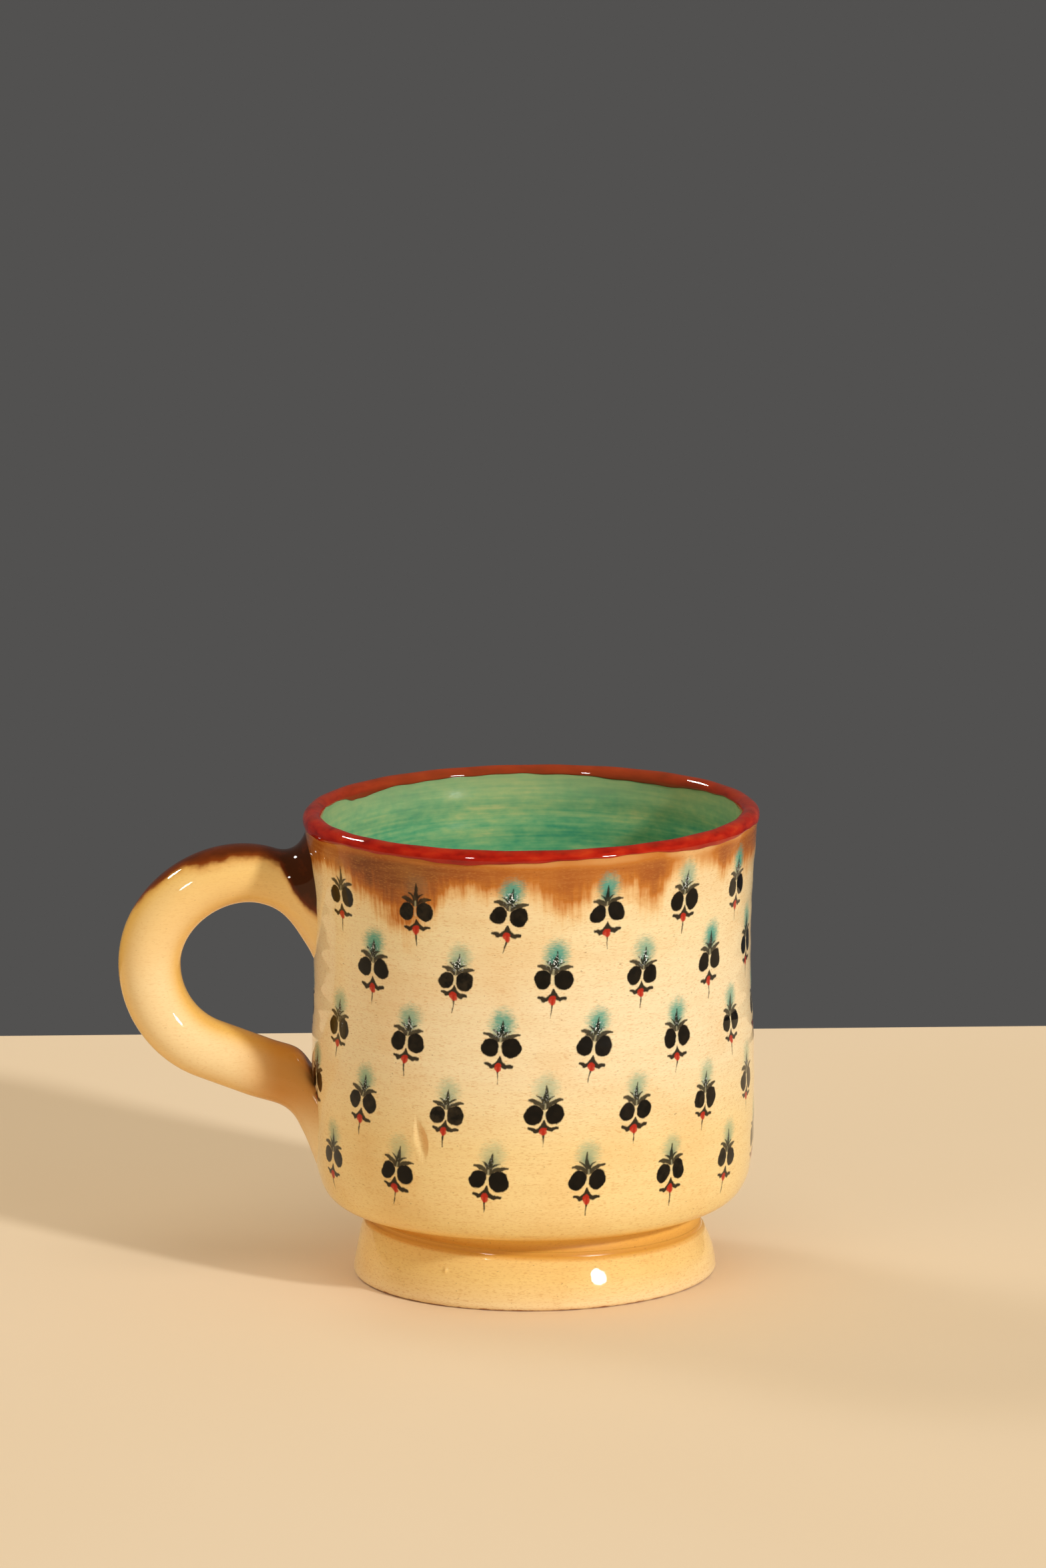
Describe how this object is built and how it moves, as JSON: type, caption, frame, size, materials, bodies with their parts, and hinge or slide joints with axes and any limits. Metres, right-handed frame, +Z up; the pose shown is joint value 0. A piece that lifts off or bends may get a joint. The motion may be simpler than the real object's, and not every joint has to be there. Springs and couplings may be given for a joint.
{
  "type": "clay mug",
  "caption": "Wheel-thrown clay mug with a waisted cup, a flared foot ring, a pulled loop handle, a green glazed inside and a red glazed lip.",
  "frame": {"origin": "centre of the foot's resting face, on the mug's axis", "axes": "+Z up along the mug's axis, -X towards the handle, +Y away from the viewer of the picture"},
  "size_m": [0.1236, 0.088, 0.091],
  "materials": {
    "honey_glazed_clay": "earthenware under a glossy honey glaze with fine brown specks and small brush-painted sprigs",
    "amber_glazed_slip": "joining slip under glaze pooled to a dark amber",
    "brown_glazed_clay": "earthenware under a glossy dark brown run of glaze",
    "green_glaze": "glossy streaked green glaze, brushed round the inside",
    "red_glaze": "glossy red glaze with uneven brushed edges"
  },
  "bodies": {
    "root": {"thrown_cup": "honey_glazed_clay", "foot_ring": "honey_glazed_clay", "foot_slip": "amber_glazed_slip", "handle_strap": "honey_glazed_clay", "upper_handle_root": "brown_glazed_clay", "lower_handle_root": "honey_glazed_clay", "green_lining": "green_glaze", "red_rim_band": "red_glaze"}
  },
  "joints": []
}
